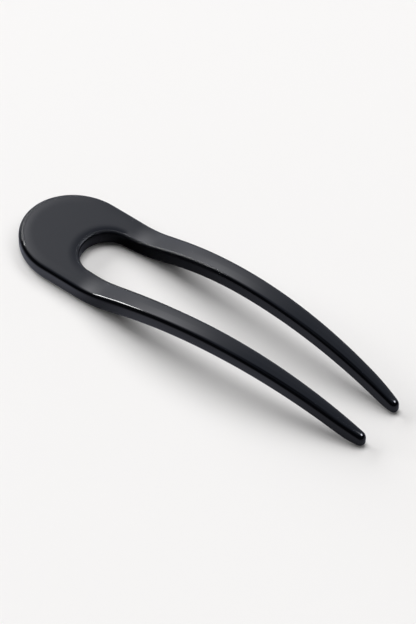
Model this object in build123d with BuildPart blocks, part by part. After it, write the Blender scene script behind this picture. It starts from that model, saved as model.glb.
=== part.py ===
from build123d import *
import math
import os

# A French hair pin: a flat U cut from sheet, with a broad round head and two tapering tines.
# Seen from the side, the head lies flat on the table, the tines climb out of it in a gentle
# bend, arch over the hair and come down until their rounded tips touch the table again.
# +X runs from the head to the tips, +Y across the pin and +Z up. The origin is at the middle
# of the pin's length and width, on the table. All sizes are in millimetres.

# Overall plan
LENGTH = 130.0
HEAD_WIDTH = 32.4
HEAD_END_LENGTH = 18.35
STRAIGHT_SIDE = 6.15

# Gap between the tines
HEAD_DEPTH = 21.35
GAP_END_RADIUS = 8.2
GAP_SWELL = 0.75
GAP_WIDEST_SHARE = 0.305
GAP_TIP_WIDTH = 12.45

# Tips, seen from above
TINE_END_WIDTH = 4.32
NOSE_LENGTH = 10.8
NOSE_RADIUS = 1.56

# Side view
THICKNESS = 5.25
FLAT_LENGTH = 30.6
BEND_RADIUS = 35.7
CLIMB_ANGLE = 17.35
CLIMB_LENGTH = 5.75
TOE_RADIUS = 13.7
TIP_HEIGHT = 4.36

# Polished edges, never rounder than the smallest nose or the thinnest stretch can hold
EDGE_ROUND = 1.25
EDGE_SHARE_OF_NOSE = 0.85
EDGE_SHARE_OF_HEIGHT = 0.45

# How far a cutting profile runs past what it cuts
PAST = 2.0

# Plan of the upper half, measured from the head's end and the middle line
half_head = HEAD_WIDTH / 2
side_start = Vector(HEAD_END_LENGTH + STRAIGHT_SIDE, half_head)
nose_centre = Vector(LENGTH - NOSE_RADIUS, GAP_TIP_WIDTH / 2 + NOSE_RADIUS)

# The gap's round end opens into a wider arc, which is level where the gap is widest
gap_end_centre = Vector(HEAD_DEPTH + GAP_END_RADIUS, 0)
gap_widest = Vector(HEAD_DEPTH + GAP_WIDEST_SHARE * (LENGTH - HEAD_DEPTH), GAP_END_RADIUS + GAP_SWELL)
swell_run = gap_widest.X - gap_end_centre.X
swell_radius = (swell_run**2 + gap_widest.Y**2 - GAP_END_RADIUS**2) / (2 * GAP_SWELL)
swell_centre = gap_widest - Vector(0, swell_radius)
gap_end_side = gap_end_centre + (gap_end_centre - swell_centre).normalized() * GAP_END_RADIUS

# The inner side then runs straight, touching that arc and the round nose
swell_to_nose = nose_centre - swell_centre
lean = math.acos((swell_radius + NOSE_RADIUS) / swell_to_nose.length)
inner_facing = swell_to_nose.normalized().rotate(Axis.Z, math.degrees(lean))
inner_start = swell_centre + inner_facing * swell_radius
inner_end = nose_centre - inner_facing * NOSE_RADIUS

# The outer side is one long arc, then a rounder one that touches the nose
nose_start_x = LENGTH - NOSE_LENGTH
inner_slope = (inner_end.Y - inner_start.Y) / (inner_end.X - inner_start.X)
inner_at_nose = inner_end.Y + inner_slope * (nose_start_x - inner_end.X)
outer_end = Vector(nose_start_x, inner_at_nose + TINE_END_WIDTH)
side_drop = side_start.Y - outer_end.Y
side_run = outer_end.X - side_start.X
side_radius = (side_run**2 + side_drop**2) / (2 * side_drop)
side_facing = (outer_end - side_start + Vector(0, side_radius)).normalized()
nose_to_outer = outer_end - nose_centre
taper_radius = (nose_to_outer.dot(nose_to_outer) - NOSE_RADIUS**2) / (
    2 * (nose_to_outer.dot(side_facing) - NOSE_RADIUS)
)
taper_centre = outer_end - side_facing * taper_radius
nose_side = nose_centre + (nose_centre - taper_centre).normalized() * NOSE_RADIUS

# Side view: the climb's direction and the direction square to it, away from the table
climb = math.radians(CLIMB_ANGLE)
climb_along = Vector(math.cos(climb), math.sin(climb))
climb_away = Vector(-math.sin(climb), math.cos(climb))

# Underside: flat, bend, climb, arch, and a toe that rocks onto the table below the nose
bend_end = Vector(FLAT_LENGTH, BEND_RADIUS) - climb_away * BEND_RADIUS
climb_end = bend_end + climb_along * CLIMB_LENGTH
toe_end = Vector(nose_centre.X, 0)
toe_centre = toe_end + Vector(0, TOE_RADIUS)
toe_to_climb = climb_end - toe_centre
arch_radius = (toe_to_climb.dot(toe_to_climb) - TOE_RADIUS**2) / (
    2 * (TOE_RADIUS + toe_to_climb.dot(climb_away))
)
arch_centre = climb_end - climb_away * arch_radius
toe_start = toe_centre + (arch_centre - toe_centre).normalized() * TOE_RADIUS

# Top: level with the underside as far as the climb, then one arc to the height of the tips
top_bend_end = bend_end + climb_away * THICKNESS
top_climb_end = climb_end + climb_away * THICKNESS
climb_to_tip = Vector(nose_centre.X, TIP_HEIGHT) - top_climb_end
top_radius = climb_to_tip.dot(climb_to_tip) / (-2 * climb_to_tip.dot(climb_away))
top_centre = top_climb_end - climb_away * top_radius
top_end_x = LENGTH + PAST
top_end = Vector(top_end_x, top_centre.Y + math.sqrt(top_radius**2 - (top_end_x - top_centre.X) ** 2))

edge_round = min(
    EDGE_ROUND,
    EDGE_SHARE_OF_NOSE * NOSE_RADIUS,
    EDGE_SHARE_OF_HEIGHT * THICKNESS,
    EDGE_SHARE_OF_HEIGHT * TIP_HEIGHT,
)

# The head's end is half the length away from the origin, in both views
from_above = Plane(origin=(-LENGTH / 2, 0, 0))
from_the_side = Plane(origin=(-LENGTH / 2, 0, 0), x_dir=(1, 0, 0), z_dir=(0, -1, 0))

with BuildPart() as hair_pin:
    # The flat U, standing taller than the arch
    with BuildSketch(from_above):
        with BuildLine():
            head_centre = (HEAD_END_LENGTH, 0)
            EllipticalCenterArc(head_centre, HEAD_END_LENGTH, half_head, start_angle=180, arc_size=-90)
            Line((HEAD_END_LENGTH, half_head), side_start)
            side = TangentArc(side_start, outer_end, tangent=(1, 0))
            taper = TangentArc(outer_end, nose_side, tangent=side % 1)
            TangentArc(nose_side, inner_end, tangent=taper % 1)
            inner = Line(inner_end, inner_start)
            swell = TangentArc(inner_start, gap_end_side, tangent=inner % 1)
            TangentArc(gap_end_side, (HEAD_DEPTH, 0), tangent=swell % 1)
            mirror(about=Plane.XZ)
        make_face()
    extrude(amount=top_centre.Y + top_radius + PAST)

    # The bent sheet seen from the side, which the U is cut down to
    with BuildSketch(from_the_side):
        with BuildLine():
            Line((-PAST, 0), (FLAT_LENGTH, 0))
            TangentArc((FLAT_LENGTH, 0), bend_end, tangent=(1, 0))
            Line(bend_end, climb_end)
            arch = TangentArc(climb_end, toe_start, tangent=climb_along)
            TangentArc(toe_start, toe_end, tangent=arch % 1)
            Line(toe_end, (top_end.X, 0))
            Line((top_end.X, 0), top_end)
            TangentArc(top_climb_end, top_end, tangent=climb_along)
            Line(top_bend_end, top_climb_end)
            TangentArc((FLAT_LENGTH, THICKNESS), top_bend_end, tangent=(1, 0))
            Line((-PAST, THICKNESS), (FLAT_LENGTH, THICKNESS))
            Line((-PAST, 0), (-PAST, THICKNESS))
        make_face()
    extrude(amount=HEAD_WIDTH, both=True, mode=Mode.INTERSECT)

    # Both rims are rounded all the way round, outside and inside the gap
    walls = hair_pin.faces().filter_by(lambda face: abs(face.normal_at().Z) < 0.001)
    rims = walls.edges().filter_by(Axis.Z, reverse=True)
    fillet(rims, radius=edge_round)

hair_pin.part.label = "hair_pin"

os.makedirs("parts", exist_ok=True)
export_step(hair_pin.part, "parts/hair_pin.step")
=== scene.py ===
import math

import bmesh
import bpy
from mathutils import Matrix, Vector


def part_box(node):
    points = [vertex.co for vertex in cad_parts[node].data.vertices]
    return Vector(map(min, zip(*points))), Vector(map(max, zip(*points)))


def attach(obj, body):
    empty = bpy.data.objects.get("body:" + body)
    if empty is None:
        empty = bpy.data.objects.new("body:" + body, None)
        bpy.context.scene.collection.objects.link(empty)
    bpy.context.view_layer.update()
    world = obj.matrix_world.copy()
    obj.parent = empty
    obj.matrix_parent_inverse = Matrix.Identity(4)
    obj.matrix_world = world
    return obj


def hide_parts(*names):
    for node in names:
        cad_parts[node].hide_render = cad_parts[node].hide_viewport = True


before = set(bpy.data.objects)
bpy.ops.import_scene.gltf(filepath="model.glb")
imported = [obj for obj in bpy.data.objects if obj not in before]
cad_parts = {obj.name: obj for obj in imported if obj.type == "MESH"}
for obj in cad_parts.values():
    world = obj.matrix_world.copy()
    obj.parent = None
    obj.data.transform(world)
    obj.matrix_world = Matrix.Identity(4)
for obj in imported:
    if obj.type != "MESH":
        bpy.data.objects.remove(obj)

bl_info = {
    "name": "French Hair Pin",
    "version": (1, 0, 0),
    "blender": (4, 5, 0),
    "location": "View3D > Sidebar > Hair Pin",
    "description": "A polished black French hair pin and the plain studio that shows it",
    "category": "Add Mesh",
}

# Sizes are written in millimetres here and kept in metres, as the frame is. +X runs from the
# head to the tips, +Y across the pin and +Z up, and the pin rests on the table at z = 0.
MM = 0.001
MICRON = MM / 1000.0
CAD_NODE = "hair_pin"
CAD_LOW, CAD_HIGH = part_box(CAD_NODE)
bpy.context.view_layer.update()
PIN_NAME = "polished_hair_pin"
FLOOR_NAME = "studio_floor"
RIM = "rim"
CLOSE = 0.01 * MM

# How far a face's normal rises or falls: a wall's less than STEEP, the top's and the
# underside's more than LEVEL. What looks up at all rises more than UPWARD
STEEP = 0.2
LEVEL = 0.5
UPWARD = 0.01

# How finely the patterns of the finish repeat, in times per metre
CLOUDS = 90.0
HANDLING = 160.0
WAVES = 85.0
GRAIN = 3000.0
COMBED = (60.0, 2600.0, 2600.0)

# The room's light, where 1 shows as white, and how many metres from the pin its lamps hang
ROOM_SHADE = (0.025, 0.029, 0.042)
BACKDROP = (0.93, 0.92, 0.91, 1.0)
GLOW_LOW = 0.8
GLOW_EVERYWHERE = 0.05
LAMP_DISTANCE = 8.0


# Settings


def size(name, description, millimetres):
    """A length that the sidebar shows in the scene's own unit."""
    return bpy.props.FloatProperty(
        name=name, description=description, default=millimetres * MM, min=0.0, unit="LENGTH", precision=5
    )


def share(name, description, default, top=1.0):
    """A plain number between nothing and its top."""
    return bpy.props.FloatProperty(name=name, description=description, default=default, min=0.0, max=top)


def microns(name, description, height):
    """A very small height, in thousandths of a millimetre."""
    return share(name, description + ", in thousandths of a millimetre", height, 100.0)


def position(name, description, millimetres):
    """Where something is along an axis, which may be negative."""
    return bpy.props.FloatProperty(
        name=name, description=description, default=millimetres * MM, unit="LENGTH", precision=5
    )


def turn(name, description, degrees):
    """An angle, written in degrees here."""
    return bpy.props.FloatProperty(
        name=name, description=description, default=math.radians(degrees), subtype="ANGLE"
    )


def count(name, description, default):
    """How many steps a curve is drawn in."""
    return bpy.props.IntProperty(name=name, description=description, default=default, min=1)


def colour(name, description, default):
    """A colour, in linear light."""
    return bpy.props.FloatVectorProperty(
        name=name, description=description, default=default, subtype="COLOR", size=3, min=0.0, max=1.0
    )


class HairPinSizes(bpy.types.PropertyGroup):
    """The pin's plan, its side view and its polished edges."""

    length: size("Length", "From the head's end to the tips", (CAD_HIGH.x - CAD_LOW.x) / MM)
    head_width: size("Head width", "Across the head", (CAD_HIGH.y - CAD_LOW.y) / MM)
    head_end: size("Head end", "Length of the head's rounded end", 18.35)
    straight_side: size("Straight side", "Straight run between the head's end and the taper", 6.15)
    head_depth: size("Head depth", "From the head's end to the gap", 21.35)
    gap_round: size("Gap end radius", "Radius of the gap's round end", 8.2)
    gap_swell: size("Gap swell", "How much each side of the gap swells past its round end", 0.75)
    gap_widest: share("Gap widest", "Where the gap is widest, as a share of its length", 0.305)
    gap_mouth: size("Gap mouth", "Width of the gap between the tips", 12.45)
    tine_end: size("Tine end", "Width of a tine where its nose starts", 4.32)
    nose_length: size("Nose length", "How far from the tip the nose starts", 10.8)
    nose_round: size("Nose radius", "Radius of the tip, from above", 1.56)
    thickness: size("Thickness", "Of the sheet", 5.25)
    flat_length: size("Flat length", "How much of the head lies flat on the table", 30.6)
    bend_radius: size("Bend radius", "Of the underside, where the tines start to climb", 35.7)
    climb_angle: turn("Climb angle", "Steepest slope of the tines", 17.35)
    climb_length: size("Climb length", "Straight run before the arch", 5.75)
    toe_radius: size("Toe radius", "Of the underside, where the tips touch the table", 13.7)
    tip_height: size("Tip height", "Of the top at the tips", 4.36)
    bend_blend: size("Bend blend", "How far the head's flat and the bend run into each other", 3.0)
    edge_round: size("Edge round", "Radius of the polished top edge", 1.2)
    head_round: size("Head round", "Radius of the top edge at the head's end, where it is rounder", 1.7)
    head_reach: size("Head reach", "How far from the head's end that larger radius fades", 20.0)
    gap_end_round: size("Gap end round", "Radius of the top edge at the gap's end", 0.8)
    gap_end_reach: size("Gap end reach", "How far along the gap that smaller radius fades", 30.0)
    tip_round: size("Tip round", "Radius of the polished edges at the tips", 1.25)
    tip_reach: size("Tip reach", "How far from the tips that radius fades", 12.0)
    under_round: size("Underside round", "Radius of the underside's edge", 1.25)
    crown: size("Crown", "How far polishing has taken the top down at the rims of the head", 0.10)
    crown_width: size("Crown width", "How far from the rims the crown reaches", 2.6)
    crown_at_tips: share("Crown at the tips", "What is left of the crown at the tips", 0.6)
    crown_fades: size("Crown fades", "From where the tines climb to where only that much is left", 45.0)
    shoulder: size("Shoulder", "How much further the top falls at the gap's end", 0.14)
    shoulder_width: size("Shoulder width", "How far from the gap's end that fall reaches", 2.0)


class HairPinMesh(bpy.types.PropertyGroup):
    """How finely the pin is drawn."""

    head_steps: count("Head steps", "Round half the head's end", 30)
    straight_steps: count("Straight steps", "Along the head's straight side", 6)
    neck_steps: count("Neck steps", "From the straight side to the gap's widest cut", 4)
    tine_step: size("Tine step", "Between two cuts along a tine", 1.0)
    nose_steps: count("Nose steps", "Round a tip", 14)
    edge_steps: count("Edge steps", "Round a polished edge", 8)
    fade_steps: count("Fade steps", "From one edge radius to the next along a rim", 16)
    crown_steps: count("Crown steps", "From a tine's middle line to its rim", 14)
    guide_step: size("Guide step", "Between two points of the bent guides", 0.4)


class AcetateLook(bpy.types.PropertyGroup):
    """The polished black acetate."""

    body: colour("Body colour", "Of the acetate itself", (0.0012, 0.0012, 0.0014))
    depth: colour("Depth colour", "Of the faint clouds in the acetate", (0.0004, 0.0004, 0.0007))
    gloss: share("Gloss roughness", "Roughness of the polished faces", 0.06)
    haze: share("Haze", "How much rougher the handled places are", 0.03)
    ripple: microns("Ripple", "Height of the polish's faint waves", 10.0)
    scratch: share("Scratches", "How much rougher the fine scratches are", 0.08)
    scratch_depth: microns("Scratch depth", "Of the fine scratches", 0.2)
    wear: share("Edge wear", "How much rougher the rubbed edges are", 0.1)
    grain: microns("Grain", "Height of the rubbed edges' grain", 1.0)
    inner_edge: share("Inner edge", "How much rougher the gap's inner edge was left", 0.34)
    ior: share("Refraction", "Refractive index of acetate", 1.49, 3.0)


class StudioSettings(bpy.types.PropertyGroup):
    """The camera, the floor and the soft lights round the table."""

    azimuth: turn("Camera azimuth", "Turn of the camera round the pin", 38.58)
    elevation: turn("Camera elevation", "Height of the camera over the table", 48.76)
    distance: size("Camera distance", "From the point looked at", 1099.9)
    aim_x: position("Aim X", "Of the point looked at, along the pin", -0.80)
    aim_y: position("Aim Y", "Of the point looked at, across the pin", 3.92)
    lens: share("Lens", "Focal length in millimetres", 218.4, 1000.0)
    floor: colour("Floor colour", "Of the plain pale floor", (0.86, 0.85, 0.845))
    # The floor's painted reflection: a dimmer, bluer colour that only the polish sees, and how light it is
    # painted beside the pin, by the tines, neck and head, and in the gap
    painted_reflection_colour: colour(
        "Mirrored floor colour", "Of the floor as the polish mirrors it", (0.8, 0.83, 1.0)
    )
    painted_reflection_plain: share("Mirrored floor", "How light the polish mirrors the floor beside the pin", 0.38)
    painted_reflection_tines: share("Mirrored by the tines", "How much lighter that is beside the tines", 0.45)
    painted_reflection_neck: share("Mirrored by the neck", "How much lighter that is from the neck on", 0.5)
    painted_reflection_head: share("Mirrored by the head", "How much is lost again by the head's end", 0.45)
    painted_reflection_gap: share("Mirrored in the gap", "How light it is in the gap, towards the tips", 0.42)
    painted_reflection_gap_end: share("Mirrored at the gap's end", "How light it is at the gap's end", 0.6)
    floor_half: size("Floor half width", "From the pin to the floor's edge", 4000.0)


# Node trees


class Wire:
    """A socket's value, so that shader maths reads as plain arithmetic."""

    def __init__(self, tree, socket):
        self.tree = tree
        self.socket = socket

    def maths(self, operation, *values):
        return self.tree.add("ShaderNodeMath", {"operation": operation}, dict(enumerate(values)))

    def __add__(self, other):
        return self.maths("ADD", self, other)

    def __sub__(self, other):
        return self.maths("SUBTRACT", self, other)

    def __mul__(self, other):
        return self.maths("MULTIPLY", self, other)

    def __truediv__(self, other):
        return self.maths("DIVIDE", self, other)

    def __pow__(self, other):
        return self.maths("POWER", self, other)

    def __radd__(self, other):
        return self.maths("ADD", other, self)

    def __rsub__(self, other):
        return self.maths("SUBTRACT", other, self)

    def __rmul__(self, other):
        return self.maths("MULTIPLY", other, self)

    def __rtruediv__(self, other):
        return self.maths("DIVIDE", other, self)

    def size(self):
        return self.maths("ABSOLUTE", self)

    def at_least(self, other):
        return self.maths("MAXIMUM", self, other)

    def ramp(self, low, high):
        """Rises smoothly from 0 at low to 1 at high, or falls where high is the lower."""
        settings = {"interpolation_type": "SMOOTHSTEP"}
        if low <= high:
            return self.tree.add("ShaderNodeMapRange", settings, {0: self, 1: low, 2: high, 3: 0.0, 4: 1.0})
        return self.tree.add("ShaderNodeMapRange", settings, {0: self, 1: high, 2: low, 3: 1.0, 4: 0.0})

    def ramp_mm(self, low, high):
        """Like ramp, between two places given in millimetres."""
        return self.ramp(low * MM, high * MM)


class Tree:
    """A node tree that is filled by one method."""

    def __init__(self, tree):
        self.tree = tree
        tree.nodes.clear()

    def add(self, kind, settings=None, values=None, output=0):
        """Adds a node, sets it, then fills its sockets with values or wires."""
        node = self.tree.nodes.new(kind)
        for name, value in (settings or {}).items():
            setattr(node, name, value)
        for name, value in (values or {}).items():
            socket = node.inputs[name]
            if isinstance(value, Wire):
                self.tree.links.new(value.socket, socket)
            else:
                socket.default_value = value
        return Wire(self, node.outputs[output]) if node.outputs else node

    def noise(self, vector, scale, detail):
        """Soft noise, round 0.5."""
        return self.add("ShaderNodeTexNoise", None, {"Vector": vector, "Scale": scale, "Detail": detail})

    def split(self, vector):
        """The three numbers of a vector."""
        parts = self.add("ShaderNodeSeparateXYZ", None, {0: vector})
        node = parts.socket.node
        return [Wire(self, node.outputs[i]) for i in range(3)]

    def dot(self, vector, direction):
        return self.add(
            "ShaderNodeVectorMath", {"operation": "DOT_PRODUCT"}, {0: vector, 1: tuple(direction)}, "Value"
        )

    def scaled(self, shade, amount):
        """A colour times a number."""
        return self.add("ShaderNodeVectorMath", {"operation": "SCALE"}, {0: tuple(shade), "Scale": amount})

    def sum(self, first, second):
        """Two colours added."""
        return self.add("ShaderNodeVectorMath", {"operation": "ADD"}, {0: first, 1: second})


# Modelling


def clear_choice():
    """Leaves edit mode and selects nothing."""
    if bpy.context.object and bpy.context.object.mode != "OBJECT":
        bpy.ops.object.mode_set(mode="OBJECT")
    bpy.ops.object.select_all(action="DESELECT")


def edited():
    """The mesh that is being edited."""
    mesh = bmesh.from_edit_mesh(bpy.context.object.data)
    mesh.verts.ensure_lookup_table()
    mesh.edges.ensure_lookup_table()
    mesh.faces.ensure_lookup_table()
    return mesh


def choose_points(rule):
    """Selects the points whose place passes the rule, with the edges between them."""
    bpy.ops.mesh.select_all(action="DESELECT")
    mesh = edited()
    for point in mesh.verts:
        if rule(point.co):
            point.select_set(True)
    mesh.select_flush(True)
    bmesh.update_edit_mesh(bpy.context.object.data)


def choose_nearest(place):
    """Selects the one point that is nearest to a place, and returns where it is."""
    bpy.ops.mesh.select_all(action="DESELECT")
    mesh = edited()
    nearest = min(mesh.verts, key=lambda point: (point.co - place).length)
    nearest.select_set(True)
    mesh.select_flush(True)
    bmesh.update_edit_mesh(bpy.context.object.data)
    return nearest.co.copy()


def choose_free_points():
    """Selects the points that are inside an open sheet."""
    bpy.ops.mesh.select_all(action="DESELECT")
    mesh = edited()
    for point in mesh.verts:
        if not point.is_boundary:
            point.select_set(True)
    bmesh.update_edit_mesh(bpy.context.object.data)


def name_choice(name):
    """Remembers the selected points as a vertex group."""
    bpy.ops.object.vertex_group_add()
    bpy.context.object.vertex_groups.active.name = name
    bpy.ops.object.vertex_group_assign()


def members(name):
    """The numbers of the points that are wholly in a vertex group of the mesh that is being edited."""
    mesh = edited()
    layer = mesh.verts.layers.deform.verify()
    number = bpy.context.object.vertex_groups[name].index
    return {point.index for point in mesh.verts if point[layer].get(number, 0.0) > 0.99}


def choose_faces(rule):
    """Selects the faces that pass the rule."""
    bpy.ops.mesh.select_all(action="DESELECT")
    mesh = edited()
    for face in mesh.faces:
        if rule(face):
            face.select_set(True)
    bmesh.update_edit_mesh(bpy.context.object.data)


def choose_edges(rule):
    """Selects the edges that pass the rule."""
    bpy.ops.mesh.select_all(action="DESELECT")
    mesh = edited()
    for edge in mesh.edges:
        if rule(edge):
            edge.select_set(True)
    bmesh.update_edit_mesh(bpy.context.object.data)


def add_point(place):
    """A small plane drawn together to one point, the start of a drawn line."""
    bpy.ops.mesh.primitive_plane_add(size=MM, location=place)
    if bpy.context.object.mode != "EDIT":
        bpy.ops.object.mode_set(mode="EDIT")
        bpy.ops.mesh.select_all(action="SELECT")
    bpy.ops.mesh.merge(type="CENTER")


def draw_line(step, times=1):
    """Draws on from the selected point in equal steps."""
    for _ in range(times):
        bpy.ops.mesh.extrude_region_move(TRANSFORM_OT_translate={"value": step})


def draw_arc(start, end, centre, steps, axis=(0, 0, 1)):
    """Draws on from the selected point round a centre, clockwise with the axis pointing at the viewer."""
    first = start - centre
    last = end - centre
    bpy.ops.mesh.spin(steps=steps, angle=first.angle(last), center=centre, axis=axis)


def apply_modifier(obj, kind, **settings):
    """Adds one modifier, sets it and applies it."""
    modifier = obj.modifiers.new(kind.title(), kind)
    for name, value in settings.items():
        setattr(modifier, name, value)
    bpy.ops.object.modifier_apply(modifier=modifier.name)


def level(point, x=0.0):
    """A plan point, measured from the head's end, as a place on the table."""
    return Vector((point[0] + x, point[1], 0.0))


class Plan:
    """The centres and touching points of the pin's outline, worked out from its sizes."""

    def __init__(self, sizes):
        half_head = sizes.head_width / 2
        self.head_turn = Vector((sizes.head_end, half_head))
        self.side_start = Vector((sizes.head_end + sizes.straight_side, half_head))
        self.nose = Vector((sizes.length - sizes.nose_round, sizes.gap_mouth / 2 + sizes.nose_round))
        self.gap_end = Vector((sizes.head_depth, 0.0))
        self.gap_centre = Vector((sizes.head_depth + sizes.gap_round, 0.0))
        gap_length = sizes.length - sizes.head_depth
        widest_x = sizes.head_depth + sizes.gap_widest * gap_length
        widest = Vector((widest_x, sizes.gap_round + sizes.gap_swell))
        run = widest.x - self.gap_centre.x
        swell_radius = (run**2 + widest.y**2 - sizes.gap_round**2) / (2 * sizes.gap_swell)
        self.swell_centre = widest - Vector((0.0, swell_radius))
        swell_facing = (self.gap_centre - self.swell_centre).normalized()
        self.gap_side = self.gap_centre + swell_facing * sizes.gap_round
        to_nose = self.nose - self.swell_centre
        lean = math.acos((swell_radius + sizes.nose_round) / to_nose.length)
        facing = Matrix.Rotation(lean, 2) @ to_nose.normalized()
        self.inner_start = self.swell_centre + facing * swell_radius
        self.inner_end = self.nose - facing * sizes.nose_round
        nose_start = sizes.length - sizes.nose_length
        slope = (self.inner_end.y - self.inner_start.y) / (self.inner_end.x - self.inner_start.x)
        inner_there = self.inner_end.y + slope * (nose_start - self.inner_end.x)
        self.side_end = Vector((nose_start, inner_there + sizes.tine_end))
        drop = self.side_start.y - self.side_end.y
        side_radius = ((self.side_end.x - self.side_start.x) ** 2 + drop**2) / (2 * drop)
        self.side_centre = self.side_start - Vector((0.0, side_radius))
        outward = (self.side_end - self.side_centre).normalized()
        reach = self.side_end - self.nose
        taper = (reach.dot(reach) - sizes.nose_round**2) / (2 * (reach.dot(outward) - sizes.nose_round))
        self.taper_centre = self.side_end - outward * taper
        self.nose_side = self.nose + (self.nose - self.taper_centre).normalized() * sizes.nose_round


class SideView:
    """The centres and touching points of the bent sheet, seen from the side."""

    def __init__(self, sizes):
        angle = sizes.climb_angle
        along = Vector((math.cos(angle), math.sin(angle)))
        away = Vector((-math.sin(angle), math.cos(angle)))
        self.bend_start = Vector((sizes.flat_length, 0.0))
        self.bend_centre = Vector((sizes.flat_length, sizes.bend_radius))
        self.bend_end = self.bend_centre - away * sizes.bend_radius
        self.climb_end = self.bend_end + along * sizes.climb_length
        self.toe_end = Vector((sizes.length - sizes.nose_round, 0.0))
        self.toe_centre = self.toe_end + Vector((0.0, sizes.toe_radius))
        reach = self.climb_end - self.toe_centre
        arch = (reach.dot(reach) - sizes.toe_radius**2) / (2 * (sizes.toe_radius + reach.dot(away)))
        self.arch_centre = self.climb_end - away * arch
        toe_facing = (self.arch_centre - self.toe_centre).normalized()
        self.toe_start = self.toe_centre + toe_facing * sizes.toe_radius
        lift = away * sizes.thickness
        self.top_start = Vector((sizes.flat_length, sizes.thickness))
        self.top_bend_end = self.bend_end + lift
        self.top_climb_end = self.climb_end + lift
        reach = Vector((self.toe_end.x, sizes.tip_height)) - self.top_climb_end
        top = reach.dot(reach) / (-2 * reach.dot(away))
        self.top_centre = self.top_climb_end - away * top
        last = self.toe_end.x + 4 * sizes.nose_round
        rise = math.sqrt(top**2 - (last - self.top_centre.x) ** 2)
        self.top_end = Vector((last, self.top_centre.y + rise))


def draw_plan(sizes, fine):
    """Draws half of the flat U as a strip of faces, with its nose, and mirrors it."""
    plan = Plan(sizes)
    shift = -sizes.length / 2
    start = Vector((0.0, 0.0, 0.0))
    turned = level((sizes.head_end, sizes.head_end))
    add_point(start)
    bpy.context.object.name = PIN_NAME
    draw_arc(start, turned, level((sizes.head_end, 0.0)), fine.head_steps)
    bpy.ops.mesh.select_all(action="SELECT")
    widen = (1.0, plan.head_turn.y / sizes.head_end, 1.0)
    bpy.ops.transform.resize(value=widen, center_override=(0.0, 0.0, 0.0))
    choose_nearest(level(plan.head_turn))
    draw_line((sizes.straight_side / fine.straight_steps, 0.0, 0.0), fine.straight_steps)

    # The outer side, in two arcs, with a cut where the gap's round end is left behind
    side_centre = level(plan.side_centre)
    side_radius = (plan.side_start - plan.side_centre).length
    neck_x = plan.gap_side.x
    neck_y = plan.side_centre.y + math.sqrt(side_radius**2 - (neck_x - plan.side_centre.x) ** 2)
    neck = level((neck_x, neck_y))
    draw_arc(level(plan.side_start), neck, side_centre, fine.neck_steps)
    side_steps = round((plan.side_end.x - neck_x) / fine.tine_step)
    draw_arc(neck, level(plan.side_end), side_centre, side_steps)
    taper_steps = round((plan.nose_side.x - plan.side_end.x) / fine.tine_step)
    draw_arc(level(plan.side_end), level(plan.nose_side), level(plan.taper_centre), taper_steps)

    # The inner side, in as many steps
    add_point(level(plan.gap_end))
    round_steps = fine.head_steps + fine.straight_steps + fine.neck_steps
    draw_arc(level(plan.gap_end), level(plan.gap_side), level(plan.gap_centre), round_steps)
    inner_steps = side_steps + taper_steps
    swell_share = (plan.inner_start.x - plan.gap_side.x) / (plan.inner_end.x - plan.gap_side.x)
    swell_steps = round(inner_steps * swell_share)
    draw_arc(level(plan.gap_side), level(plan.inner_start), level(plan.swell_centre), swell_steps)
    straight_steps = inner_steps - swell_steps
    draw_line(level((plan.inner_end - plan.inner_start) / straight_steps), straight_steps)

    # The strip between them, then the nose, spun round its centre
    bpy.ops.mesh.select_all(action="SELECT")
    bpy.ops.mesh.bridge_edge_loops(number_cuts=1, interpolation="LINEAR")
    nose = level(plan.nose)
    middle = choose_nearest((level(plan.nose_side) + level(plan.inner_end)) / 2)
    bpy.ops.transform.translate(value=nose - middle)
    choose_points(lambda co: min((co - nose).length, (co - level(plan.nose_side)).length) < CLOSE)
    draw_arc(level(plan.nose_side), level(plan.inner_end), nose, fine.nose_steps)
    bpy.ops.mesh.select_all(action="SELECT")
    bpy.ops.mesh.remove_doubles(threshold=CLOSE)
    bpy.ops.transform.translate(value=(shift, 0.0, 0.0))
    bpy.ops.object.mode_set(mode="OBJECT")
    pin = bpy.context.object
    apply_modifier(
        pin, "MIRROR", use_axis=(False, True, False), use_mirror_merge=True, merge_threshold=CLOSE
    )
    return pin


def draw_guide(sizes, fine, top):
    """A sheet bent like the top or the underside, twice as wide as the head, that the pin is laid on."""
    view = SideView(sizes)
    across = Vector((0.0, -sizes.head_width, 0.0))
    past = 2 * sizes.nose_round

    def upright(point):
        return Vector((point[0] - sizes.length / 2, across.y, point[1]))

    def steps(first, last):
        return max(1, round((last - first).length / fine.guide_step))

    def arc(first, last, centre, axis):
        draw_arc(upright(first), upright(last), upright(centre), steps(first, last), axis)

    height = sizes.thickness if top else 0.0
    start = Vector((-past, height))
    bend_start = view.top_start if top else view.bend_start
    bend_end = view.top_bend_end if top else view.bend_end
    climb_end = view.top_climb_end if top else view.climb_end
    clear_choice()
    add_point(upright(start))
    times = steps(start, bend_start)
    draw_line((bend_start.x - start.x) / times * Vector((1, 0, 0)), times)
    down = (0.0, -1.0, 0.0)
    up = (0.0, 1.0, 0.0)
    arc(bend_start, bend_end, view.bend_centre, up)
    times = steps(bend_end, climb_end)
    draw_line((upright(climb_end) - upright(bend_end)) / times, times)
    if top:
        arc(climb_end, view.top_end, view.top_centre, down)
    else:
        arc(climb_end, view.toe_start, view.arch_centre, down)
        arc(view.toe_start, view.toe_end, view.toe_centre, up)
        draw_line((past, 0.0, 0.0))

    # The bend's ends are smoothed into each other, in more rounds where the guide is finer
    smooth_from = sizes.flat_length - 4 * sizes.bend_blend - sizes.length / 2
    smooth_to = sizes.length / 4
    choose_points(lambda co: smooth_from < co.x < smooth_to)
    rounds = round(2 * (sizes.bend_blend / fine.guide_step) ** 2)
    bpy.ops.mesh.vertices_smooth(factor=0.5, repeat=rounds)
    bpy.ops.mesh.select_all(action="SELECT")
    draw_line(-2 * across)
    bpy.ops.object.mode_set(mode="OBJECT")
    guide = bpy.context.object
    guide.name = "top_guide" if top else "underside_guide"
    return guide


def wake(obj):
    """Selects one object alone and makes it the active one."""
    clear_choice()
    obj.select_set(True)
    bpy.context.view_layer.objects.active = obj


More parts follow.
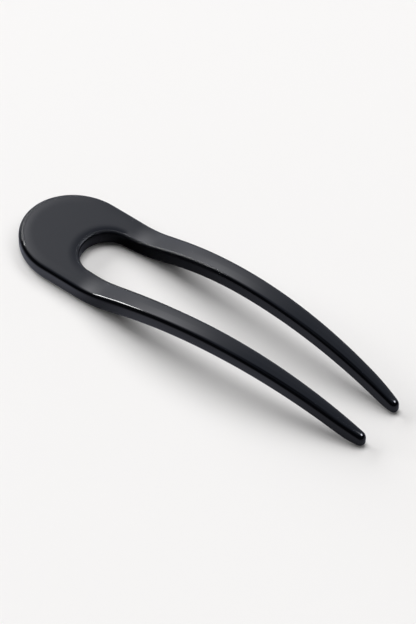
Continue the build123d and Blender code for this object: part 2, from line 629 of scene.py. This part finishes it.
def lay_on_guide(pin, guide, group):
    """Moves one side of the pin straight up or down onto a guide, which is then thrown away."""
    wake(pin)
    apply_modifier(
        pin,
        "SHRINKWRAP",
        target=guide,
        wrap_method="PROJECT",
        use_project_z=True,
        use_positive_direction=True,
        use_negative_direction=True,
        vertex_group=group,
    )
    wake(guide)
    bpy.ops.object.delete()
    wake(pin)


def between_wall_and_face(edge):
    """True for an edge of the rim, which has an upright wall on one side."""
    if len(edge.link_faces) != 2:
        return False
    rises = sorted(abs(face.normal.z) for face in edge.link_faces)
    return rises[0] < STEEP and rises[1] > LEVEL


def middle_of(edge):
    """The middle of an edge."""
    return (edge.verts[0].co + edge.verts[1].co) / 2


def faces_up(edge):
    """True for an edge of the top rim."""
    return max(edge.link_faces, key=lambda face: abs(face.normal.z)).normal.z > 0.0


def widest_round(sizes):
    """The largest radius of all the rims."""
    return max(sizes.edge_round, sizes.head_round, sizes.gap_end_round, sizes.tip_round, sizes.under_round)


def weigh_rims(sizes, fine):
    """Sets how round each part of the rims becomes, as shares of the largest radius, in small steps."""
    gap_end = Vector((sizes.head_depth - sizes.length / 2, 0.0))
    gap_half = sizes.gap_round + sizes.gap_swell + CLOSE
    widest = widest_round(sizes)

    def weigh(rule, radius, steps=1):
        choose_edges(lambda edge: between_wall_and_face(edge) and rule(edge))
        bpy.ops.transform.edge_bevelweight(value=radius / widest / steps)

    weigh(lambda edge: not faces_up(edge), sizes.under_round)
    weigh(faces_up, sizes.edge_round)
    for i in range(fine.fade_steps):
        part = (i + 0.5) / fine.fade_steps
        near_head = sizes.head_reach * part - sizes.length / 2
        weigh(
            lambda edge: faces_up(edge) and middle_of(edge).x < near_head,
            sizes.head_round - sizes.edge_round,
            fine.fade_steps,
        )
        near_tip = sizes.length / 2 - sizes.tip_reach * part
        weigh(
            lambda edge: faces_up(edge) and middle_of(edge).x > near_tip,
            sizes.tip_round - sizes.edge_round,
            fine.fade_steps,
        )
        reach = sizes.gap_end_reach * part
        weigh(
            lambda edge: faces_up(edge)
            and abs(middle_of(edge).y) < gap_half
            and middle_of(edge).x > gap_end.x - CLOSE
            and (middle_of(edge).xy - gap_end).length < reach,
            sizes.gap_end_round - sizes.edge_round,
            fine.fade_steps,
        )


def remember_rims(pin):
    """Keeps which points are on a rounded edge as the mesh's own attribute, for the finish."""
    rim = {number for face in pin.data.polygons if face.material_index == 1 for number in face.vertices}
    layer = pin.data.attributes.new(RIM, "FLOAT", "POINT")
    for point in rim:
        layer.data[point].value = 1.0


def crosses_top(edge, middle):
    """True for an edge of the top that runs from its middle line towards a rim."""
    first, last = edge.verts
    if (first.index in middle) == (last.index in middle):
        return False
    return all(face.material_index == 0 and face.normal.z > LEVEL for face in edge.link_faces)


def sink(depth, reach):
    """Lowers the selected faces and, less and less, what lies near them."""
    bpy.ops.transform.translate(
        value=(0.0, 0.0, -depth),
        use_proportional_edit=True,
        proportional_edit_falloff="SHARP",
        proportional_size=reach,
    )


def model_pin(sizes, fine):
    """Models the pin from its flat outline."""
    clear_choice()
    pin = draw_plan(sizes, fine)

    # The sheet's thickness, with its middle line, its top and its underside remembered
    bpy.ops.object.mode_set(mode="EDIT")
    choose_free_points()
    name_choice("middle")
    bpy.ops.mesh.select_all(action="SELECT")
    bpy.ops.mesh.extrude_region_move(TRANSFORM_OT_translate={"value": (0.0, 0.0, sizes.thickness)})
    half = sizes.thickness / 2
    for group, rule in (("top", lambda co: co.z > half), ("underside", lambda co: co.z < half)):
        choose_points(rule)
        name_choice(group)
    bpy.ops.mesh.select_all(action="SELECT")
    bpy.ops.mesh.normals_make_consistent(inside=False)
    bpy.ops.object.mode_set(mode="OBJECT")

    # The bend, taken from two guides
    lay_on_guide(pin, draw_guide(sizes, fine, True), "top")
    lay_on_guide(pin, draw_guide(sizes, fine, False), "underside")

    # The polished edges, whose faces are marked by a material slot of their own
    bpy.ops.object.material_slot_add()
    bpy.ops.object.material_slot_add()
    bpy.ops.object.mode_set(mode="EDIT")
    weigh_rims(sizes, fine)
    bpy.ops.object.mode_set(mode="OBJECT")
    apply_modifier(
        pin,
        "BEVEL",
        limit_method="WEIGHT",
        width=widest_round(sizes),
        segments=fine.edge_steps,
        use_clamp_overlap=False,
        material=1,
    )
    bpy.ops.object.mode_set(mode="EDIT")
    bpy.ops.mesh.select_all(action="SELECT")
    bpy.ops.mesh.normals_make_consistent(inside=False)

    # The crown: the top falls away towards its rims
    middle = members("middle")
    choose_edges(lambda edge: crosses_top(edge, middle))
    bpy.ops.mesh.subdivide(number_cuts=fine.crown_steps - 1)
    bpy.ops.mesh.select_mode(type="FACE")
    choose_faces(lambda face: face.normal.z < UPWARD)
    bpy.ops.mesh.hide()
    choose_faces(lambda face: face.material_index == 1 and not face.hide)
    sink(sizes.crown * sizes.crown_at_tips, sizes.crown_width)
    for i in range(fine.fade_steps):
        reach = sizes.flat_length + sizes.crown_fades * (i + 0.5) / fine.fade_steps - sizes.length / 2
        choose_faces(
            lambda face: face.material_index == 1 and not face.hide and face.calc_center_median().x < reach
        )
        sink(sizes.crown * (1.0 - sizes.crown_at_tips) / fine.fade_steps, sizes.crown_width)
    gap_end = Vector((sizes.head_depth + sizes.gap_round - sizes.length / 2, 0.0))
    gap_rim = sizes.gap_round + sizes.edge_round
    choose_faces(
        lambda face: face.material_index == 1
        and not face.hide
        and face.calc_center_median().x < gap_end.x
        and (face.calc_center_median().xy - gap_end).length < gap_rim
    )
    sink(sizes.shoulder, sizes.shoulder_width)
    bpy.ops.mesh.reveal()
    bpy.ops.mesh.select_mode(type="VERT")
    bpy.ops.object.mode_set(mode="OBJECT")
    bpy.ops.object.shade_smooth()
    apply_modifier(pin, "WEIGHTED_NORMAL", mode="FACE_AREA", weight=50, keep_sharp=False)
    remember_rims(pin)
    bpy.ops.object.mode_set(mode="EDIT")
    bpy.ops.mesh.select_all(action="SELECT")
    pin.active_material_index = 0
    bpy.ops.object.material_slot_assign()
    bpy.ops.object.mode_set(mode="OBJECT")
    pin.vertex_groups.clear()
    pin.data.materials.clear()
    return pin


# Finish


def acetate(look):
    """Polished black acetate: nearly no colour of its own, a clear gloss, faint waves, rubbed edges."""
    material = bpy.data.materials.new("black_acetate")
    material.use_nodes = True
    tree = Tree(material.node_tree)
    place = tree.add("ShaderNodeTexCoord", None, None, "Object")
    x, y, _ = tree.split(place)
    rim = tree.add("ShaderNodeAttribute", {"attribute_name": RIM}, None, "Fac")

    # The sheet's own faint clouds
    cloud = tree.noise(place, CLOUDS, 3.0)
    shades = {"Factor": cloud.ramp(0.35, 0.65), 6: (*look.depth, 1.0), 7: (*look.body, 1.0)}
    body = tree.add("ShaderNodeMix", {"data_type": "RGBA"}, shades, 2)

    # Fine scratches along the pin, left by the polishing cloth and by hair
    combed = tree.add("ShaderNodeMapping", None, {"Vector": place, "Scale": COMBED})
    scratches = tree.noise(combed, 1.0, 2.0).ramp(0.62, 0.76)

    # Edges rubbed where the tines start, and the gap's inner edge, which the wheel hardly reaches
    at_gap = y.size().ramp_mm(12.6, 11.6) * x.ramp_mm(8.0, -8.0)
    at_neck = x.ramp_mm(-54.0, -44.0) * x.ramp_mm(-16.0, -28.0)
    grain = tree.noise(place, GRAIN, 2.0).ramp(0.5, 0.72) * rim * at_neck * (1.0 - at_gap)
    rough = (
        look.gloss
        + tree.noise(place, HANDLING, 4.0).ramp(0.4, 0.75) * look.haze
        + scratches * look.scratch
        + grain * look.wear
        + rim * at_gap * look.inner_edge
    )

    # The polish's faint waves, with the grain and the scratches on them
    waves = tree.noise(place, WAVES, 1.0) * (look.ripple * MICRON)
    grains = grain * (look.grain * MICRON)
    lines = scratches * (look.scratch_depth * MICRON)
    relief = tree.add("ShaderNodeBump", None, {"Height": waves + grains - lines, "Distance": 1.0})
    shader = tree.add(
        "ShaderNodeBsdfPrincipled",
        None,
        {"Base Color": body, "Roughness": rough, "IOR": look.ior, "Normal": relief},
    )
    tree.add("ShaderNodeOutputMaterial", None, {"Surface": shader})
    return material


# Studio


def towards(azimuth, elevation):
    """The direction of a place in the room, from two angles in degrees."""
    az, el = math.radians(azimuth), math.radians(elevation)
    return Vector((math.cos(az) * math.cos(el), math.sin(az) * math.cos(el), math.sin(el)))


def soft_panel(tree, ray, azimuth, elevation, width, height, soft, amount, shade, roll, shelter=1.0):
    """One flat soft light: its place, half width, half height and blurred edge at unit distance,
    its brightness and shade, its turn in degrees, and the mask of what it hangs below."""
    facing = towards(azimuth, elevation)
    sideways = towards(azimuth + 90.0, 0.0)
    upward = facing.cross(sideways)
    turned = Matrix.Rotation(math.radians(roll), 3, facing)
    sideways, upward = turned @ sideways, turned @ upward
    ahead = tree.dot(ray, facing)
    near = ahead.at_least(0.02)
    across = (tree.dot(ray, sideways) / near).size()
    rise = (tree.dot(ray, upward) / near).size()
    mask = across.ramp(width + soft, width - soft) * rise.ramp(height + soft, height - soft)
    return tree.scaled([c * amount for c in shade], mask * ahead.ramp(0.0, 0.1) * shelter)


def studio_light():
    """Soft panels that only the polish mirrors, an even light for matt surfaces and a plain backdrop."""
    world = bpy.data.worlds.new("soft_studio")
    world.use_nodes = True
    world.cycles.sampling_method = "NONE"
    bpy.context.scene.world = world
    tree = Tree(world.node_tree)
    ray = tree.add("ShaderNodeTexCoord", None, None, "Generated")
    x, _, z = tree.split(ray)
    light = tree.scaled(ROOM_SHADE, z.ramp(-0.2, 0.1))
    below_ceiling = z.ramp(1.0, 0.92)
    below_shelf = z.ramp(0.94, 0.80)
    panels = (
        # Overhead, cut off towards the tips, and low behind the pin
        dict(
            azimuth=59.0, elevation=75.0, width=1.15, height=0.5, soft=0.8, roll=58.0,
            amount=0.43, shade=(0.84, 0.96, 1.24), shelter=below_ceiling * x.ramp(0.75, 0.2),
        ),
        dict(
            azimuth=116.0, elevation=16.0, width=1.1, height=0.75, soft=0.95, roll=9.0,
            amount=0.70, shade=(0.92, 0.98, 1.16), shelter=below_ceiling,
        ),
        # A broad and a small one, seen where the tines start to climb
        dict(
            azimuth=157.0, elevation=39.0, width=0.28, height=0.07, soft=0.62, roll=46.0,
            amount=3.4, shade=(1.0, 1.0, 1.03), shelter=below_shelf,
        ),
        dict(
            azimuth=150.0, elevation=43.0, width=0.14, height=0.12, soft=0.18, roll=50.0,
            amount=1.8, shade=(1.0, 1.0, 1.03), shelter=below_shelf,
        ),
        # The strip that draws the bright line on the near edge, and the light on the tips
        dict(
            azimuth=167.8, elevation=36.0, width=0.17, height=0.022, soft=0.03, roll=42.0,
            amount=50.0, shade=(1.0, 1.0, 1.0),
        ),
        dict(
            azimuth=44.0, elevation=47.0, width=0.14, height=0.08, soft=0.08, roll=35.0,
            amount=27.0, shade=(0.95, 0.97, 1.08),
        ),
    )
    for panel in panels:
        light = tree.sum(light, soft_panel(tree, ray, **panel))
    mirrored = tree.add("ShaderNodeBackground", None, {"Color": light, "Strength": 1.0})
    low = z.ramp(0.35, 0.05) * GLOW_LOW + GLOW_EVERYWHERE
    even = tree.add("ShaderNodeBackground", None, {"Color": (1.0, 1.0, 1.0, 1.0), "Strength": low})
    plain = tree.add("ShaderNodeBackground", None, {"Color": BACKDROP, "Strength": 1.0})
    glossy = tree.add("ShaderNodeLightPath", None, None, "Is Glossy Ray")
    seen = tree.add("ShaderNodeLightPath", None, None, "Is Camera Ray")
    room = tree.add("ShaderNodeMixShader", None, {0: glossy, 1: even, 2: mirrored})
    both = tree.add("ShaderNodeMixShader", None, {0: seen, 1: room, 2: plain})
    tree.add("ShaderNodeOutputWorld", None, {"Surface": both})


def hang_softbox(name, azimuth, elevation, width, height, power):
    """A soft light over the table that lights the floor and that the polish doesn't mirror."""
    direction = towards(azimuth, elevation)
    bpy.ops.object.light_add(type="AREA", location=direction * LAMP_DISTANCE)
    lamp = bpy.context.object
    lamp.name = name
    lamp.rotation_euler = direction.to_track_quat("Z", "Y").to_euler()
    lamp.data.shape = "RECTANGLE"
    lamp.data.size = width
    lamp.data.size_y = height
    lamp.data.energy = power
    lamp.visible_glossy = False


def floor_finish(studio):
    """Plain pale paper, and the painted reflection of it that the polish sees: dimmer, bluer, and painted
    lighter or darker by place.
    """
    material = bpy.data.materials.new("pale_floor")
    material.use_nodes = True
    tree = Tree(material.node_tree)
    paper = tree.add("ShaderNodeBsdfDiffuse", None, {"Color": (*studio.floor, 1.0)})
    x, y, _ = tree.split(tree.add("ShaderNodeTexCoord", None, None, "Object"))

    # Painted reflection: outside the pin it is lightest at the pin's side and fades with the distance from
    # it, inside it follows the gap, lighter towards the tips and at the gap's end
    side, reach, falloff = 16.0 * MM, 9.0 * MM, 1.6
    beside = (y.size() - side).at_least(0.0) / reach
    tines = x.ramp_mm(-28.0, -12.0) * x.ramp_mm(52.0, 24.0) * studio.painted_reflection_tines
    neck = x.ramp_mm(-28.0, -40.0) * studio.painted_reflection_neck
    head = x.ramp_mm(-46.0, -60.0) * studio.painted_reflection_head
    outside = (tines + studio.painted_reflection_plain + (neck - head)) / (beside**falloff + 1.0)
    gap_end = x.ramp_mm(-37.5, -41.0) * studio.painted_reflection_gap_end
    inside = x.ramp_mm(-45.0, 25.0) * studio.painted_reflection_gap + gap_end
    in_gap = y.size().ramp_mm(13.0, 9.0)
    painted_reflection_level = inside * in_gap + outside * (1.0 - in_gap)
    # Painted reflection: the polish mirrors this dimmer, bluer colour instead of the paper
    painted_reflection_shader = tree.add("ShaderNodeBsdfDiffuse", None, {"Color": tree.scaled(studio.painted_reflection_colour, painted_reflection_level)})
    glossy = tree.add("ShaderNodeLightPath", None, None, "Is Glossy Ray")
    both = tree.add("ShaderNodeMixShader", None, {0: glossy, 1: paper, 2: painted_reflection_shader})
    tree.add("ShaderNodeOutputMaterial", None, {"Surface": both})
    return material


def place_camera(studio):
    """The camera of the photograph, with a long lens."""
    back = Vector(
        (
            math.sin(studio.azimuth) * math.cos(studio.elevation),
            -math.cos(studio.azimuth) * math.cos(studio.elevation),
            math.sin(studio.elevation),
        )
    )
    aim = Vector((studio.aim_x, studio.aim_y, 0.0))
    bpy.ops.object.camera_add(location=aim + back * studio.distance)
    camera = bpy.context.object
    camera.name = "studio_camera"
    camera.rotation_euler = (-back).to_track_quat("-Z", "Y").to_euler()
    camera.data.sensor_width = 36.0
    camera.data.lens = studio.lens
    camera.data.clip_start = 0.01
    bpy.context.scene.camera = camera


# Operators


class HAIRPIN_OT_stage(bpy.types.Operator):
    """Set up the floor, the soft lights and the camera."""

    bl_idname = "hairpin.stage"
    bl_label = "Studio"

    def execute(self, context):
        studio = context.scene.hair_pin_studio
        clear_choice()
        bpy.ops.mesh.primitive_plane_add(size=2 * studio.floor_half)
        floor = bpy.context.object
        floor.name = FLOOR_NAME
        floor.data.materials.append(floor_finish(studio))
        studio_light()
        hang_softbox("overhead_softbox", azimuth=150.0, elevation=70.0, width=4.2, height=3.7, power=305.0)
        hang_softbox("back_softbox", azimuth=80.0, elevation=52.0, width=10.7, height=3.7, power=286.0)
        hang_softbox("left_softbox", azimuth=180.0, elevation=18.0, width=7.5, height=4.4, power=755.0)
        place_camera(studio)
        context.scene.view_settings.view_transform = "Standard"
        context.scene.cycles.use_denoising = True
        return {"FINISHED"}


class HAIRPIN_OT_pin(bpy.types.Operator):
    """Model the hair pin and finish it in polished black acetate."""

    bl_idname = "hairpin.pin"
    bl_label = "Hair pin"

    def execute(self, context):
        pin = model_pin(context.scene.hair_pin_sizes, context.scene.hair_pin_mesh)
        pin.data.materials.append(acetate(context.scene.hair_pin_look))
        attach(pin, "root")
        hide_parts(CAD_NODE)
        return {"FINISHED"}


class HAIRPIN_PT_panel(bpy.types.Panel):
    """Lists the pieces and their settings."""

    bl_idname = "HAIRPIN_PT_panel"
    bl_label = "Hair Pin"
    bl_space_type = "VIEW_3D"
    bl_region_type = "UI"
    bl_category = "Hair Pin"

    def draw(self, context):
        for operator, groups in PIECES:
            box = self.layout.box()
            box.operator(operator)
            for group in groups:
                settings = getattr(context.scene, group)
                for name in settings.__annotations__:
                    box.prop(settings, name)


PIECES = (
    ("hairpin.stage", ("hair_pin_studio",)),
    ("hairpin.pin", ("hair_pin_sizes", "hair_pin_mesh", "hair_pin_look")),
)
SETTINGS = {
    "hair_pin_sizes": HairPinSizes,
    "hair_pin_mesh": HairPinMesh,
    "hair_pin_look": AcetateLook,
    "hair_pin_studio": StudioSettings,
}
CLASSES = (*SETTINGS.values(), HAIRPIN_OT_stage, HAIRPIN_OT_pin, HAIRPIN_PT_panel)


def register():
    for item in CLASSES:
        bpy.utils.register_class(item)
    for name, group in SETTINGS.items():
        setattr(bpy.types.Scene, name, bpy.props.PointerProperty(type=group))


def unregister():
    for name in SETTINGS:
        delattr(bpy.types.Scene, name)
    for item in reversed(CLASSES):
        bpy.utils.unregister_class(item)


def main():
    register()
    bpy.ops.hairpin.stage()
    bpy.ops.hairpin.pin()


if __name__ == "__main__":
    main()
